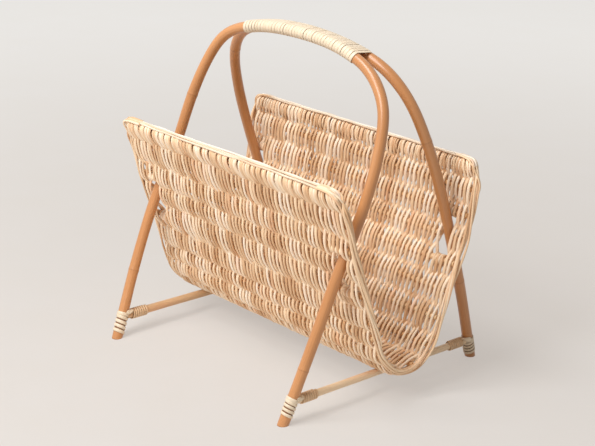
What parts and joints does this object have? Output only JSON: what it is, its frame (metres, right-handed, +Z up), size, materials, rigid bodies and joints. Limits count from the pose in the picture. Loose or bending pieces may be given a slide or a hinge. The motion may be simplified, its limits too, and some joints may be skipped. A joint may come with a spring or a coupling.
{
  "type": "magazine basket",
  "caption": "Free-standing magazine basket: a woven willow trough held between two bent cane hoops that form the legs and a bound carrying handle.",
  "frame": {"origin": "on the floor, midway between the four feet", "axes": "+X along the basket's length and handle towards the right feet, +Y from the front hoop's feet to the rear hoop's feet, +Z up"},
  "size_m": [0.4149, 0.3271, 0.4129],
  "materials": {
    "cane": "smooth peeled rattan cane, reddish brown with a soft sheen",
    "willow": "thin peeled willow rods, cream to tan, lightly varnished",
    "rib": "peeled willow rods, tan, lightly varnished",
    "strip": "flat peeled binding strip, cream with a light sheen",
    "rod": "peeled willow rod, pale tan",
    "steel": "plain wire nail"
  },
  "bodies": {
    "root": {"front_hoop": "cane", "rear_hoop": "cane", "handle_binding": "strip", "left_stretcher": "rod", "right_stretcher": "rod", "front_left_foot_nail": "steel", "front_right_foot_nail": "steel", "rear_left_foot_nail": "steel", "rear_right_foot_nail": "steel", "front_left_foot_binding": "strip", "front_right_foot_binding": "strip", "rear_left_foot_binding": "strip", "rear_right_foot_binding": "strip", "rib_01": "rib", "rib_02": "rib", "rib_03": "rib", "rib_04_left_stub": "rib", "rib_04": "rib", "rib_04_right_stub": "rib", "rib_05": "rib", "rib_06": "rib", "rib_07": "rib", "rib_08": "rib", "rib_09": "rib", "rib_10": "rib", "rib_11": "rib", "rib_12": "rib", "rib_13": "rib", "rib_14": "rib", "rib_15_left_stub": "rib", "rib_15": "rib", "rib_15_right_stub": "rib", "rib_16": "rib", "rib_17": "rib", "rib_18": "rib", "woven_mat": "willow", "left_edge_bundle": "willow", "right_edge_bundle": "willow", "front_border_band": "willow", "rear_border_band": "willow"}
  },
  "joints": []
}
